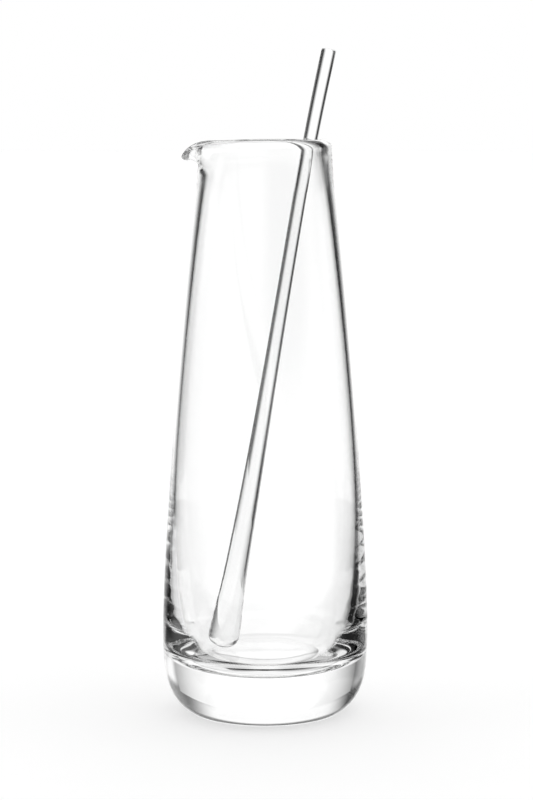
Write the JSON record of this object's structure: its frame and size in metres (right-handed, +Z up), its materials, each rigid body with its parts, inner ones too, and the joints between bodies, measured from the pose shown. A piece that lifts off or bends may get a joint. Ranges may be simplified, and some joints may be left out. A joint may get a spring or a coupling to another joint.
{
  "type": "cocktail pitcher",
  "caption": "Tall tapering glass cocktail pitcher with a heavy solid base, a thick rounded rim and a pulled pouring lip, holding a leaning glass stirring rod with a teardrop end.",
  "frame": {"origin": "centre of the pitcher's foot, on the surface it stands on", "axes": "+Z up along the pitcher's centre line; the pouring lip points towards -X; +Y completes the frame and points away from the picture's viewer"},
  "size_m": [0.101, 0.101, 0.3238],
  "materials": {
    "pitcher_glass": "clear, fire-polished",
    "rod_glass": "clear, fire-polished"
  },
  "bodies": {
    "pitcher": {"pitcher": "pitcher_glass"},
    "rod": {"stirring_rod": "rod_glass"}
  },
  "joints": [
    {"name": "lift_out", "type": "slide", "parent": "pitcher", "child": "rod", "axis": [0.1029, 0.0186, 0.9945], "range_m": [0, 0.26]}
  ]
}
